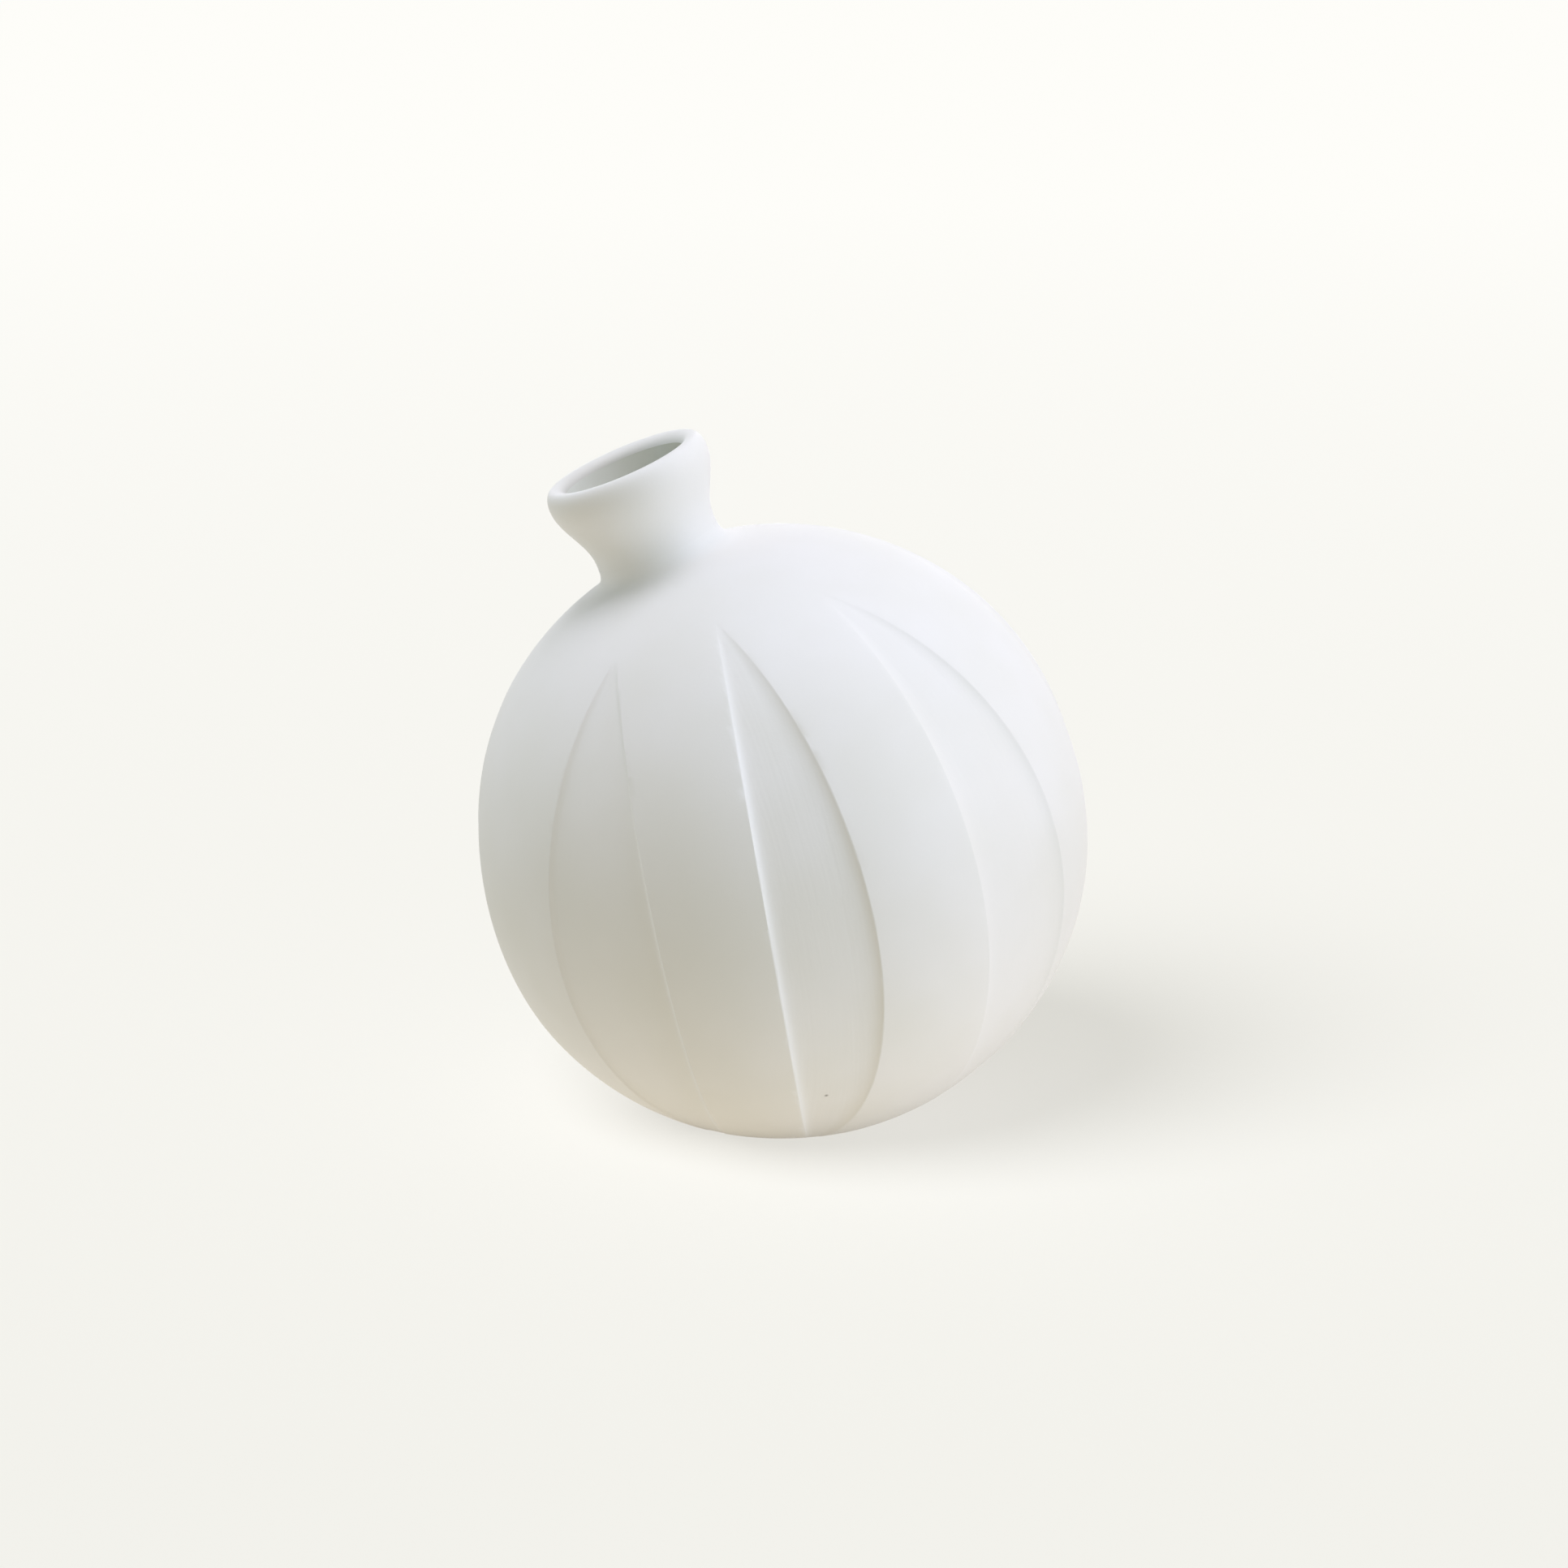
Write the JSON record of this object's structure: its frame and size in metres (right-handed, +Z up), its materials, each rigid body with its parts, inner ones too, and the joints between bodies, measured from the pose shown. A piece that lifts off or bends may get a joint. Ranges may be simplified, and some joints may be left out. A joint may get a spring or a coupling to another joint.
{
  "type": "globe vase",
  "caption": "Round vase in matte white porcelain with a short flared neck that leans to one side, carved leaf-shaped facets and a flat foot; holds a few stems in water.",
  "frame": {"origin": "middle of the flat foot, on the surface that the vase stands on, straight below the globe's centre", "axes": "+Z up; the neck leans towards -X, in the plane of X and Z"},
  "size_m": [0.0987, 0.0996, 0.112],
  "materials": {
    "porcelain": "unglazed, sanded matte",
    "clear_glaze": "gloss"
  },
  "bodies": {
    "root": {"lower_bowl": "porcelain", "upper_bowl": "porcelain", "neck": "porcelain", "neck_coil": "porcelain", "glaze_lining": "clear_glaze"}
  },
  "joints": []
}
